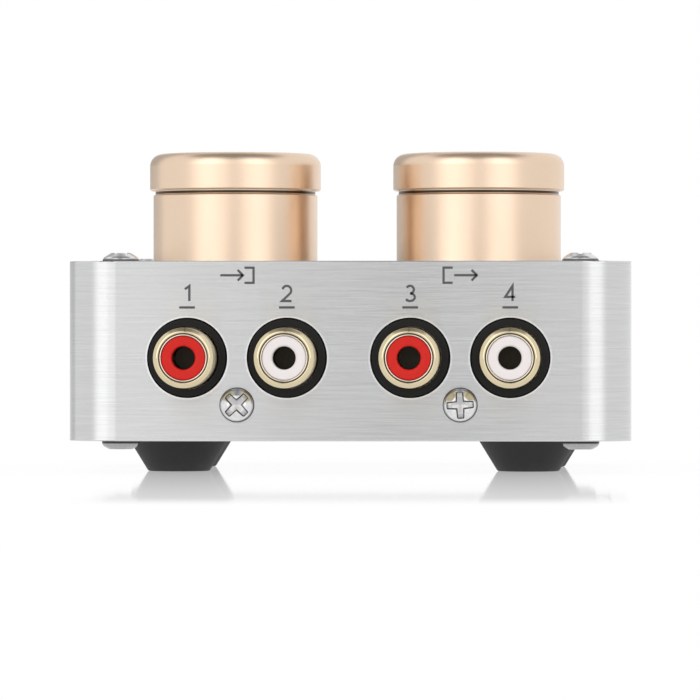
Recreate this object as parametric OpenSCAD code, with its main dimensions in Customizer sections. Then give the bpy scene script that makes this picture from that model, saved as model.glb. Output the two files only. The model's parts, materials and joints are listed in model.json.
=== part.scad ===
// Passive preamplifier: two separate volume controls between two pairs of phono sockets, in a metal case.
// Millimetres, +Z up. The origin lies on the surface it stands on, below the middle of its outline.
// The socket wall faces -Y, and left and right are as seen when looking at the sockets.

/* [Case] */
// Width of the case ring
case_w = 79.4; // [78:0.2:100]
// Depth of the case ring
case_d = 70; // [62:0.5:100]
// Height of the case ring
case_h = 25.3; // [24:0.1:32]
// Outer radius of the ring's upright corners
corner_r = 7; // [6:0.5:12.5]
// Thickness of the ring's wall
wall = 2.5; // [2:0.1:3]
// Rounding of the ring's outer rims
rim_r = 0.15; // [0.1:0.05:0.6]
// Thickness of the top and bottom plates
plate_t = 2; // [1.5:0.1:2.4]
// How far each plate lies below the ring's rim
plate_recess = 0.4; // [0.2:0.1:0.8]

/* [Case screws] */
// Distance of a case screw from the two outer faces at its corner
screw_inset = 7.2; // [6:0.1:7.8]
// Radius of the screw posts in the ring's corners
post_r = 3.6; // [2.8:0.1:4.2]
// Thread diameter of the case screws
screw_d = 3; // [2.5:0.1:3.5]
// Length of a case screw below its head
screw_len = 9; // [6:0.5:10]
// Diameter of the pan heads
head_d = 5.4; // [4.6:0.1:6]
// Height of the pan heads
head_h = 1.65; // [1.4:0.05:2]
// Radius of the rounded shoulder of the pan heads
head_shoulder = 1.1; // [0.6:0.05:1.3]
// Width of the cross slot's wings
cross_w = 0.85; // [0.5:0.05:1]
// Length of the cross slot from tip to tip
cross_len = 3.3; // [2:0.1:3.4]
// Depth of the cross slot
cross_depth = 1; // [0.6:0.05:1.2]

/* [Feet] */
// Height of a foot
foot_h = 5; // [3:0.1:10]
// Diameter of a foot where it is stuck to the bottom plate
foot_base_d = 14.2; // [10:0.1:16]
// Diameter of a foot at the end it stands on
foot_tip_d = 8.8; // [6:0.1:10]
// Distance of a rear foot's axis from the case's side
foot_inset_x = 14.6; // [13.5:0.1:22]
// How much further out the front feet stand
front_foot_spread = 0.9; // [0:0.1:2]
// Distance of a foot's axis from the case's front or back
foot_inset_y = 20; // [16.5:0.1:24]

/* [Knobs] */
// Distance between the two knob axes
knob_spacing = 35.6; // [27:0.1:39]
// Diameter of the knob's cap
knob_cap_d = 25; // [24.2:0.1:26.8]
// Diameter of the knob's body below the groove
knob_body_d = 24; // [23:0.1:25]
// Diameter at the floor of the groove
knob_groove_d = 23.4; // [20:0.1:23.6]
// Height of the whole knob
knob_h = 16; // [14:0.1:24]
// Height of the cap above the groove
knob_cap_h = 5.4; // [4:0.1:6.4]
// Height of the groove
knob_groove_h = 0.55; // [0.3:0.05:1]
// Rounding of the cap's upper edge
knob_round = 1.8; // [0.8:0.1:3]
// Gap between the ring's rim and the knob's underside
knob_lift = 0.1; // [0:0.05:1]
// Thickness of the knob over the end of its bore
knob_top_t = 3.7; // [2:0.1:5]
// Diameter of the setting dot drilled into the knob's top
dot_d = 2; // [1:0.1:3]
// Distance of the setting dot from the knob's axis
dot_reach = 8.5; // [6:0.1:9]
// Thread diameter of the knob's grub screw
grub_d = 3; // [2:0.1:3.5]
// Length of the grub screw
grub_len = 8; // [4:0.5:9]

/* [Phono sockets] */
// Distance between the two barrels of a twin socket
jack_pitch = 14; // [12.5:0.1:15]
// Share of the spare width beside the two twin sockets that lies at each corner post
jack_side_share = 0.1; // [0.02:0.02:0.4]
// Height of the barrel axes above the ring's lower rim
jack_rise = 11.7; // [11:0.1:13]
// Outer diameter of a barrel
barrel_d = 8.4; // [7.8:0.1:9]
// Step out to the seat that holds a barrel in the socket's body
barrel_step = 0.2; // [0.1:0.05:0.4]
// Inner diameter of a barrel
barrel_bore_d = 6.2; // [5.6:0.1:6.8]
// How far a barrel stands out of the socket wall
barrel_reach = 9; // [7:0.1:12]
// Rounding of a barrel's outer lip
lip_r = 0.75; // [0.3:0.05:0.9]
// Diameter of the holes in the socket wall
socket_hole_d = 11.3; // [10.6:0.1:12]
// How far the socket's collar stands out of the wall
collar_stand = 0.3; // [0:0.05:1]
// Bore for the plug's centre pin, in the core and in the contact behind it
pin_bore_d = 3.24; // [3.1:0.02:3.4]
// Depth of that bore from the core's face
pin_depth = 8.3; // [8:0.1:12]
// Depth of the twin socket's body behind the wall
jack_depth = 11; // [10:0.1:14]
// Distance of the fixing screw below the barrel axes
jack_screw_drop = 6.6; // [6.2:0.1:7]
// Thread diameter of the socket's fixing screws
tapping_d = 2.6; // [2:0.1:3]
// Length of a fixing screw below its head
tapping_len = 8; // [5:0.5:10]
// Head diameter of the fixing screws
tapping_head_d = 4.9; // [4:0.1:5.4]

/* [Circuit board] */
// Thickness of the circuit board
board_t = 1.6; // [1:0.1:2]
// Room for solder joints between board and top plate
board_gap = 1.5; // [1.2:0.1:2.5]
// Diameter of the solder pins
solder_pin_d = 0.9; // [0.6:0.05:1.1]

/* [Rotary controls] */
// Outer diameter of a control's body
pot_d = 16; // [15:0.5:18]
// Height of a control's body under the board
pot_h = 9.2; // [8:0.1:11]
// Turn of a control from stop to stop, in degrees
pot_turn = 300; // [240:5:310]
// Diameter of a control's shaft
shaft_d = 6; // [5.6:0.1:6.2]
// Thread diameter of a control's bushing
bushing_d = 7; // [6.8:0.1:8]
// Width of a bushing nut across its flats
nut_flats = 10; // [9:0.1:11]
// Height of a bushing nut
nut_h = 2; // [1.5:0.1:2.5]
// Diameter of a bushing washer
washer_d = 11.5; // [10:0.1:12.5]
// Thickness of a bushing washer
washer_t = 0.45; // [0.3:0.05:0.8]

/* [Clearances] */
// Gap between a plate's edge and the ring
plate_gap = 0.15; // [0.05:0.05:0.3]
// Radial gap of screws and bushings in clearance holes
hole_gap = 0.2; // [0.1:0.05:0.4]
// Radial gap of round pieces that are fixed in their seats
seat_gap = 0.02; // [0.01:0.01:0.05]
// Radial gap of a shaft that turns in its bushing
run_gap = 0.05; // [0.02:0.01:0.1]
// Gap between inner pieces that pass each other
pass_gap = 0.5; // [0.3:0.05:0.8]

/* [Hidden] */
$fn = 96;

// Overlap that makes a cut run clear through a face
cut = 1;
// Small bevel on turned and moulded edges
edge = 0.2;
// Turn of a cross slot that stands like an X
slant = 45;

// Heights, from the feet up
case_z = foot_h - plate_recess;
top_z = case_z + case_h;
floor_z = foot_h + plate_t;
lid_top_z = top_z - plate_recess;
lid_z = lid_top_z - plate_t;
board_top_z = lid_z - board_gap;
board_z = board_top_z - board_t;
jack_z = case_z + jack_rise;
knob_z = top_z + knob_lift;

// The barrels count in the outline, so the case sits behind its middle by half their reach
case_y = barrel_reach / 2;
face_y = case_y - case_d / 2;

// Knob
knob_body_h = knob_h - knob_cap_h - knob_groove_h;
bushing_end = 0.4;
bushing_len = board_t + board_gap + plate_t + washer_t + nut_h + bushing_end;
nut_corners = 2 * nut_flats / sqrt(3);
knob_recess_d = max(nut_corners, washer_d) + 4 * pass_gap;
knob_recess_h = board_z + bushing_len + pass_gap - knob_z;
knob_bore_h = knob_h - knob_top_t;
grub_h = (knob_recess_h + knob_body_h) / 2;
grub_socket_d = grub_d / sqrt(3);
grub_socket_depth = grub_d / 2;
shaft_flat = 2.5;
dot_depth = 0.4;

// Twin socket
collar_d = socket_hole_d - 2 * hole_gap;
barrel_seat_d = barrel_d + 2 * barrel_step;
block_w = jack_pitch + collar_d;
spare_w = case_w - 2 * (screw_inset + post_r + block_w);
jack_spread = block_w + (1 - 2 * jack_side_share) * spare_w;
block_z = floor_z + pass_gap;
sleeve_seat = 6;
sleeve_end = -wall - sleeve_seat;
core_set_back = 0.3;
core_face = barrel_reach - core_set_back;
contact_set_back = 2;
contact_front = core_face - contact_set_back;
contact_wall = 0.36;
contact_d = pin_bore_d + 2 * contact_wall;
contact_tail_d = 1.8;
contact_tail_out = 1.5;
slit_w = 0.4;
slit_len = 4;
solder_rows = [3, 8.5];
solder_seat = 1;
solder_stand = 0.9;

// Rotary control, measured down from the board
pot_plate_t = 1.2;
wafer_t = 1.2;
wafer_z = -pot_plate_t - wafer_t;
can_t = 0.4;
can_bore_d = pot_d - 2 * can_t;
flange_step = 1;
flange_d = shaft_d + 2 * flange_step;
flange_t = 0.8;
flange_z = -pot_plate_t - 2 * run_gap - flange_t;
neck_step = 0.6;
neck_d = shaft_d - 2 * neck_step;
stop_gap = 0.4;
stop_reach = 1.6;
stop_in_r = can_bore_d / 2 - stop_reach;
rotor_r = stop_in_r - stop_gap;
rotor_t = 1.6;
wiper_room = 1.4;
rotor_z = wafer_z - wiper_room - rotor_t;
neck_end_z = rotor_z - stop_gap;
lug_r = can_bore_d / 2 - stop_gap;
lug_w = 1.6;
stop_play = 1.5;
stop_half_angle = 180 - pot_turn / 2 - asin(lug_w / 2 / stop_in_r) - stop_play;
stop_w = 2 * stop_in_r * tan(stop_half_angle);
wiper_t = 0.3;
wiper_w = 1.2;
wiper_reach = rotor_r - wiper_w / 2;
tab_w = 13;
tab_len = 3.2;
tab_reach = pot_d / 2 + tab_len;
terminal_y = tab_reach - tab_len / 2;
terminal_pitch = 5;
rivet_d = 1.8;
rivet_t = 0.4;

// Circuit board
board_w = case_w - 2 * (screw_inset + post_r + pass_gap);
board_front_y = face_y + wall + pass_gap;
board_margin = 1;
board_back_y = case_y + tab_reach + board_margin;

// Colours
silver = [0.78, 0.79, 0.80];
gold_anodised = [0.88, 0.73, 0.58];
gold_plated = [0.86, 0.70, 0.36];
bright_steel = [0.82, 0.82, 0.84];
black_plastic = [0.06, 0.06, 0.06];
black_rubber = [0.10, 0.10, 0.10];
core_colours = [[0.80, 0.10, 0.07], [0.93, 0.91, 0.90]];
board_green = [0.10, 0.32, 0.20];
brown_wafer = [0.45, 0.30, 0.18];

// Names: the first of each list lies towards -X, or towards the socket wall
SIDES = ["left", "right"];
ENDS = ["rear", "front"];
PAIRS = ["input", "output"];
CHANNELS = ["right", "left"];
POT_PIECES = ["spacer", "pot_bushing", "pot_wafer", "pot_cover", "pot_terminals", "pot_washer", "pot_nut",
  "pot_shaft", "pot_rotor", "pot_wiper", "knob", "set_screw"];
JACK_PIECES = ["jack_sleeve", "jack_insulator", "jack_contact"];

// Direction of the first or second of a pair
function way(i) = 2 * i - 1;

// Places

module at_case_screws(z) {
  for (x = [-1, 1], y = [-1, 1])
    translate([x * (case_w / 2 - screw_inset), case_y + y * (case_d / 2 - screw_inset), z]) children();
}

module at_knob(s, z) {
  translate([way(s) * knob_spacing / 2, case_y, z]) children();
}

// On a twin socket's middle, with +Z pointing out of the socket wall and +Y up
module at_pair(p) {
  translate([way(p) * jack_spread / 2, face_y, jack_z]) rotate([90, 0, 0]) children();
}

module at_barrel(c) {
  translate([way(c) * jack_pitch / 2, 0, 0]) children();
}

module at_solder_pins() {
  for (c = [0, 1], row = solder_rows)
    at_barrel(c) translate([0, board_z - jack_z, -wall - row]) rotate([-90, 0, 0]) children();
}

module at_terminals() {
  for (x = [-1, 0, 1]) translate([x * terminal_pitch, terminal_y, 0]) children();
}

// Outlines and basic forms

module round_rect(w, d, r) {
  square([w - 2 * r, d], center = true);
  square([w, d - 2 * r], center = true);
  for (x = [-1, 1], y = [-1, 1]) translate([x * (w / 2 - r), y * (d / 2 - r)]) circle(r = r);
}

// Half section of a block from its middle out to reach, with both outer rims rounded
module rim_section(reach, h) {
  square([reach - rim_r, h]);
  translate([0, rim_r]) square([reach, h - 2 * rim_r]);
  for (y = [rim_r, h - rim_r]) translate([reach - rim_r, y]) circle(r = rim_r);
}

// Half section of a turned piece with a rounded upper edge
module shoulder_section(r, h, shoulder) {
  square([r, h - shoulder]);
  square([r - shoulder, h]);
  translate([r - shoulder, h - shoulder]) intersection() {
    circle(r = shoulder);
    square(shoulder);
  }
}

// Round bar of diameter d between two heights
module rod(d, from, to) {
  translate([0, 0, from]) cylinder(d = d, h = to - from);
}

// Flat ring with its lower face at Z = 0
module washer(outer_d, inner_d, t) {
  difference() {
    rod(outer_d, 0, t);
    rod(inner_d, -cut, t + cut);
  }
}

// Solid block with round upright corners and rounded rims
module rim_block(w, d, h, r) {
  rotate([90, 0, 90]) linear_extrude(w - 2 * r, center = true)
    for (m = [0, 1]) mirror([m, 0]) rim_section(d / 2, h);
  for (turn = [0, 180]) rotate(turn) translate([w / 2 - r, 0, 0]) rotate([90, 0, 0])
    linear_extrude(d - 2 * r, center = true) rim_section(r, h);
  for (x = [0, 1], y = [0, 1]) mirror([x, 0, 0]) mirror([0, y, 0])
    translate([w / 2 - r, d / 2 - r, 0]) rotate_extrude(angle = 90) rim_section(r, h);
}

// Corner posts, reaching half way into the wall so that they grow out of it
module post_outline() {
  intersection() {
    round_rect(case_w - wall, case_d - wall, corner_r - wall / 2);
    for (x = [0, 1], y = [0, 1]) mirror([x, 0]) mirror([0, y])
      translate([case_w / 2 - screw_inset, case_d / 2 - screw_inset]) {
        circle(r = post_r);
        translate([0, -post_r]) square([screw_inset, screw_inset + post_r]);
        translate([-post_r, 0]) square([screw_inset + post_r, screw_inset]);
      }
  }
}

// Cross-head screw with its head's seat at Z = 0 and its shank below
module pan_screw(head, shank, len, turn) {
  difference() {
    union() {
      rotate_extrude() shoulder_section(head / 2, head_h, head_shoulder);
      rod(shank, -len, head_h - cross_depth);
    }
    for (a = [0, 90]) rotate(turn + a) translate([-cross_len / 2, -cross_w / 2, head_h - cross_depth])
      cube([cross_len, cross_w, cross_depth + cut]);
  }
}

// Case

module case_ring() {
  color(silver) difference() {
    translate([0, case_y, case_z]) {
      difference() {
        rim_block(case_w, case_d, case_h, corner_r);
        translate([0, 0, -cut]) linear_extrude(case_h + 2 * cut)
          round_rect(case_w - 2 * wall, case_d - 2 * wall, corner_r - wall);
      }
      translate([0, 0, floor_z - case_z]) linear_extrude(lid_z - floor_z) post_outline();
    }
    at_case_screws(0) rod(screw_d + 2 * seat_gap, floor_z - cut, lid_z + cut);
    for (p = [0, 1]) at_pair(p) {
      for (c = [0, 1]) at_barrel(c) rod(socket_hole_d, -wall - cut, cut);
      translate([0, -jack_screw_drop, 0]) rod(tapping_d + 2 * hole_gap, -wall - cut, cut);
    }
  }
}

// Plate that lies inside the ring, with a clearance hole for each case screw
module case_plate(z) {
  inset = wall + plate_gap;
  difference() {
    translate([0, case_y, z]) linear_extrude(plate_t)
      round_rect(case_w - 2 * inset, case_d - 2 * inset, corner_r - inset);
    at_case_screws(z) rod(screw_d + 2 * hole_gap, -cut, plate_t + cut);
  }
}

module top_plate() {
  color(silver) difference() {
    case_plate(lid_z);
    for (s = [0, 1]) at_knob(s, lid_z) rod(bushing_d + 2 * hole_gap, -cut, plate_t + cut);
  }
}

module bottom_plate() {
  color(silver) case_plate(foot_h);
}

module top_screws() {
  color(bright_steel) at_case_screws(lid_top_z) pan_screw(head_d, screw_d, screw_len, slant);
}

module bottom_screws() {
  color(bright_steel) at_case_screws(foot_h) rotate([180, 0, 0]) pan_screw(head_d, screw_d, screw_len, slant);
}

module foot(e, s) {
  reach = case_w / 2 - foot_inset_x + e * front_foot_spread;
  color(black_rubber)
    translate([way(s) * reach, case_y + way(e) * (case_d / 2 - foot_inset_y), 0])
      rotate_extrude() polygon([[0, 0], [foot_tip_d / 2 - edge, 0], [foot_tip_d / 2, edge],
        [foot_base_d / 2, foot_h], [0, foot_h]]);
}

// Phono sockets

// Moulded body: a block from the case's floor to the board, with a collar round each barrel
module jack_housing(p) {
  color(black_plastic) at_pair(p) difference() {
    union() {
      translate([-block_w / 2, block_z - jack_z, -wall - jack_depth])
        cube([block_w, board_z - block_z, jack_depth]);
      for (c = [0, 1]) at_barrel(c) translate([0, 0, -wall - cut])
        rotate_extrude() shoulder_section(collar_d / 2, wall + cut + collar_stand, edge);
    }
    for (c = [0, 1]) at_barrel(c) {
      rod(barrel_seat_d + 2 * seat_gap, sleeve_end, collar_stand + cut);
      rod(contact_tail_d + 2 * hole_gap, -wall - jack_depth - cut, sleeve_end + cut);
    }
    translate([0, -jack_screw_drop, 0]) rod(tapping_d + 2 * seat_gap, -wall - tapping_len, cut);
    at_solder_pins() rod(solder_pin_d + 2 * seat_gap, -solder_seat, cut);
  }
}

// Plated barrel: a tube with a wider seat, a rounded lip outside and a bevel inside
module jack_sleeve(p, c) {
  len = barrel_reach - sleeve_end;
  bore_r = barrel_bore_d / 2;
  color(gold_plated) at_pair(p) at_barrel(c) translate([0, 0, sleeve_end]) rotate_extrude() difference() {
    union() {
      shoulder_section(barrel_d / 2, len, lip_r);
      square([barrel_seat_d / 2, collar_stand - sleeve_end]);
    }
    translate([0, -cut]) square([bore_r, len + 2 * cut]);
    polygon([[0, len - edge], [bore_r, len - edge], [bore_r + 2 * edge, len + edge], [0, len + edge]]);
  }
}

// Moulded core that fills the barrel, with a mouth for the plug's pin and a seat for the contact behind it
module jack_insulator(p, c) {
  color(core_colours[c]) at_pair(p) at_barrel(c) difference() {
    rod(barrel_bore_d - 2 * seat_gap, sleeve_end, core_face);
    rod(contact_d + 2 * seat_gap, sleeve_end - cut, contact_front);
    rod(pin_bore_d, contact_front - cut, core_face + cut);
    translate([0, 0, core_face - edge]) cylinder(d1 = pin_bore_d, d2 = pin_bore_d + 4 * edge, h = 2 * edge);
  }
}

// Split spring tube with a solder tail
module jack_contact(p, c) {
  color(gold_plated) at_pair(p) at_barrel(c) difference() {
    union() {
      rod(contact_d, sleeve_end, contact_front);
      rod(contact_tail_d, -wall - jack_depth - contact_tail_out, sleeve_end);
    }
    rod(pin_bore_d, core_face - pin_depth, contact_front + cut);
    translate([-contact_d / 2 - cut, -slit_w / 2, contact_front - slit_len])
      cube([contact_d + 2 * cut, slit_w, slit_len + cut]);
  }
}

module jack_pins(p) {
  color(bright_steel) at_pair(p) at_solder_pins() rod(solder_pin_d, -solder_seat, board_t + solder_stand);
}

// The left screw has its slot slanted, the right one has it upright
module jack_screws() {
  color(bright_steel) for (p = [0, 1]) at_pair(p) translate([0, -jack_screw_drop, 0])
    pan_screw(tapping_head_d, tapping_d, tapping_len, p == 0 ? slant : 0);
}

// Circuit board

module circuit_board() {
  color(board_green) difference() {
    translate([-board_w / 2, board_front_y, board_z]) cube([board_w, board_back_y - board_front_y, board_t]);
    for (s = [0, 1]) at_knob(s, board_z) {
      rod(bushing_d + 2 * hole_gap, -cut, board_t + cut);
      at_terminals() rod(solder_pin_d + 2 * hole_gap, -cut, board_t + cut);
    }
    for (p = [0, 1]) at_pair(p) at_solder_pins() rod(solder_pin_d + 2 * hole_gap, -cut, board_t + cut);
  }
}

// Rotary controls, hung under the board

module spacer(s) {
  color(black_plastic) at_knob(s, board_top_z) washer(washer_d, bushing_d + 2 * hole_gap, board_gap);
}

module pot_bushing(s) {
  color(bright_steel) at_knob(s, board_z) difference() {
    union() {
      rod(pot_d, -pot_plate_t, 0);
      rod(bushing_d, -pot_plate_t, bushing_len);
    }
    rod(shaft_d + 2 * run_gap, -pot_plate_t - cut, bushing_len + cut);
  }
}

// Carrier of the resistor track, with a tab for the terminals
module pot_wafer(s) {
  color(brown_wafer) at_knob(s, board_z + wafer_z) difference() {
    union() {
      rod(pot_d, 0, wafer_t);
      translate([-tab_w / 2, 0, 0]) cube([tab_w, tab_reach, wafer_t]);
    }
    rod(flange_d + 2 * pass_gap, -cut, wafer_t + cut);
    at_terminals() rod(solder_pin_d + 2 * seat_gap, -cut, wafer_t + cut);
  }
}

// Can with a block inside that stops the rotor's lug at both ends of its turn
module pot_cover(s) {
  stop_h = pot_h + rotor_z + rotor_t;
  color(bright_steel) at_knob(s, board_z - pot_h) {
    difference() {
      rod(pot_d, 0, pot_h + wafer_z);
      rod(can_bore_d, can_t, pot_h);
    }
    intersection() {
      translate([-stop_w / 2, -pot_d / 2, can_t / 2]) cube([stop_w, pot_d / 2 - stop_in_r, stop_h]);
      rod(can_bore_d + can_t, 0, pot_h);
    }
  }
}

module pot_terminals(s) {
  color(bright_steel) at_knob(s, board_z) at_terminals() {
    rod(solder_pin_d, wafer_z, board_t + solder_stand);
    rod(rivet_d, wafer_z - rivet_t, wafer_z);
  }
}

module pot_washer(s) {
  color(bright_steel) at_knob(s, lid_top_z) washer(washer_d, bushing_d + 2 * hole_gap, washer_t);
}

module pot_nut(s) {
  color(bright_steel) at_knob(s, lid_top_z + washer_t) difference() {
    cylinder(d = nut_corners, h = nut_h, $fn = 6);
    rod(bushing_d + 2 * seat_gap, -cut, nut_h + cut);
  }
}

// Turning pieces, at the middle of their turn

// Shaft with a flat for the grub screw, a flange under the bushing and a neck for the rotor
module pot_shaft(s) {
  shaft_end = knob_z + knob_bore_h - pass_gap - board_z;
  color(bright_steel) at_knob(s, board_z) difference() {
    union() {
      rod(shaft_d, flange_z, shaft_end);
      rod(flange_d, flange_z, flange_z + flange_t);
      rod(neck_d, neck_end_z, flange_z);
    }
    translate([-shaft_d / 2, shaft_flat, bushing_len + pass_gap]) cube([shaft_d, shaft_d, shaft_end]);
  }
}

module pot_rotor(s) {
  color(black_plastic) at_knob(s, board_z + rotor_z) difference() {
    union() {
      rod(2 * rotor_r, 0, rotor_t);
      translate([-lug_w / 2, 0, 0]) cube([lug_w, lug_r, rotor_t]);
    }
    rod(neck_d + 2 * seat_gap, -cut, rotor_t + cut);
  }
}

// Spring arm on the rotor, whose tip follows the track
module pot_wiper(s) {
  tip_h = wafer_z - rotor_z - rotor_t - 2 * run_gap;
  color(gold_plated) at_knob(s, board_z + rotor_z + rotor_t) {
    difference() {
      union() {
        rod(neck_d + 2 * wiper_w, 0, wiper_t);
        translate([-wiper_w / 2, 0, 0]) cube([wiper_w, wiper_reach, wiper_t]);
      }
      rod(neck_d + 2 * seat_gap, -cut, wiper_t + cut);
    }
    translate([0, wiper_reach - wiper_w / 2, 0]) rod(wiper_w, 0, tip_h);
  }
}

// Half section of the knob without its bore: body, groove and round-edged cap
module knob_section() {
  body_r = knob_body_d / 2;
  polygon([[0, 0], [body_r - edge, 0], [body_r, edge], [body_r, knob_body_h - edge],
    [body_r - edge, knob_body_h], [0, knob_body_h]]);
  square([knob_groove_d / 2, knob_h - knob_cap_h / 2]);
  translate([0, knob_h - knob_cap_h]) difference() {
    shoulder_section(knob_cap_d / 2, knob_cap_h, knob_round);
    translate([knob_cap_d / 2, 0]) rotate(45) square(sqrt(2) * edge, center = true);
  }
}

module knob(s) {
  color(gold_anodised) at_knob(s, knob_z) difference() {
    rotate_extrude() knob_section();
    rod(knob_recess_d, -cut, knob_recess_h);
    rod(shaft_d + 2 * seat_gap, -cut, knob_bore_h);
    translate([0, 0, grub_h]) rotate([-90, 0, 0]) rod(grub_d + 2 * seat_gap, 0, knob_cap_d);
    translate([0, -dot_reach, knob_h]) rod(dot_d, -dot_depth, cut);
  }
}

module set_screw(s) {
  tail = shaft_flat + grub_len;
  color(bright_steel) at_knob(s, knob_z + grub_h) rotate([-90, 0, 0]) difference() {
    rod(grub_d, shaft_flat, tail);
    translate([0, 0, tail - grub_socket_depth])
      cylinder(d = grub_socket_d, h = grub_socket_depth + cut, $fn = 6);
  }
}

// Every node

case_ring();
top_plate();
bottom_plate();
top_screws();
bottom_screws();
jack_screws();
circuit_board();

for (e = [0, 1], s = [0, 1])
  foot(e, s);

for (p = [0, 1]) {
  jack_housing(p);
  jack_pins(p);
  for (c = [0, 1]) {
    socket = str(PAIRS[p], "_", CHANNELS[c]);
    jack_sleeve(p, c);
    jack_insulator(p, c);
    jack_contact(p, c);
  }
}

for (s = [0, 1]) {
  spacer(s);
  pot_bushing(s);
  pot_wafer(s);
  pot_cover(s);
  pot_terminals(s);
  pot_washer(s);
  pot_nut(s);
  pot_shaft(s);
  pot_rotor(s);
  pot_wiper(s);
  knob(s);
  set_screw(s);
}
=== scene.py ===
"""Looks of a passive preamplifier: brushed case, satin gold knobs, phono sockets, screws, rubber feet."""
import json
from itertools import product
from math import cos, pi, radians, sin
from typing import NamedTuple

import bpy
import numpy as np
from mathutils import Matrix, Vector


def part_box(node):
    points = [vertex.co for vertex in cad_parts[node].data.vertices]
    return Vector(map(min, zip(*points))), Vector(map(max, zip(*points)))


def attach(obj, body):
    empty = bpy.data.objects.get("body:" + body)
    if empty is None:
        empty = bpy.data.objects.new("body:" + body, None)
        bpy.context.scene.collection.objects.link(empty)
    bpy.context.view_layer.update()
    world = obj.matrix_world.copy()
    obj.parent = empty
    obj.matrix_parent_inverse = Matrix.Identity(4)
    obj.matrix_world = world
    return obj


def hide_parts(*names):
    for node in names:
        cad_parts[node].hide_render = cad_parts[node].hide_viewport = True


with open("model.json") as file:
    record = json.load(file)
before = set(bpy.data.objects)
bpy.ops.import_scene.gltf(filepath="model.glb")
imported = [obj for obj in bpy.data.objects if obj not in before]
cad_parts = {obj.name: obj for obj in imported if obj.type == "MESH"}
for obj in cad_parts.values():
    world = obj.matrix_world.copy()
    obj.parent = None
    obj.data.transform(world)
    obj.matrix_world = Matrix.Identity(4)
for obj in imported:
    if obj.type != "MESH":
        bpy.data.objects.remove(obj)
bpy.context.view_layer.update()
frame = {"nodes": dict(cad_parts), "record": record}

MM = 0.001
SIDES = ("left", "right")
ENDS = ("rear", "front")
PAIRS = ("input", "output")
CHANNELS = ("right", "left")
MOUNTS = {mount["name"]: mount for mount in frame["record"]["mounts"]}
# Attribute of the screws' points that their finish reads: painted shade in the crosses and round the rims
# of the heads
PAINTED_SHADE = "dirt"

# Outer faces of the case and of the collars round the sockets
CASE_LOW, CASE_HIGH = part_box("case_ring")
SOCKET_FACE = -CASE_LOW.y
COLLAR_FACE = -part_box("jack_housing_input")[0].y

# Barrels of the sockets: their radius, the lip at their tip and the groove inside it
BARREL_R = MOUNTS["input_right_barrel"]["dims"]["r_mm"] * MM
LIP_WIDTH = 0.74 * MM
LIP_GROOVE = 0.18 * MM

# Camera: the scale of the photograph on the socket wall, where it stands and where it looks
IMAGE_PIXELS = 700
WALL_MM_PER_PIXEL = 0.14
SENSOR_MM = 36
CAMERA_DISTANCE = 785 * MM
CAMERA_SIDE = 28 * MM
CAMERA_HEIGHT = 18.5 * MM
CAMERA_NEAREST = 10 * MM
AIM_SIDE = 0.21 * MM
AIM_HEIGHT = 17.4 * MM


class Link:
    """A shader socket that takes part in Python sums: each operator adds one Math node."""

    def __init__(self, finish, socket):
        self.finish = finish
        self.socket = socket

    def math(self, operation, first, second):
        """One Math node with two values or links."""
        return self.finish.node("Math", {"operation": operation}, {0: first, 1: second})

    def __add__(self, other):
        return self.math("ADD", self, other)

    def __sub__(self, other):
        return self.math("SUBTRACT", self, other)

    def __rsub__(self, other):
        return self.math("SUBTRACT", other, self)

    def __mul__(self, other):
        return self.math("MULTIPLY", self, other)

    def __truediv__(self, other):
        return self.math("DIVIDE", self, other)

    def __abs__(self):
        return self.math("ABSOLUTE", self, 0)

    __radd__ = __add__
    __rmul__ = __mul__


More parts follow.
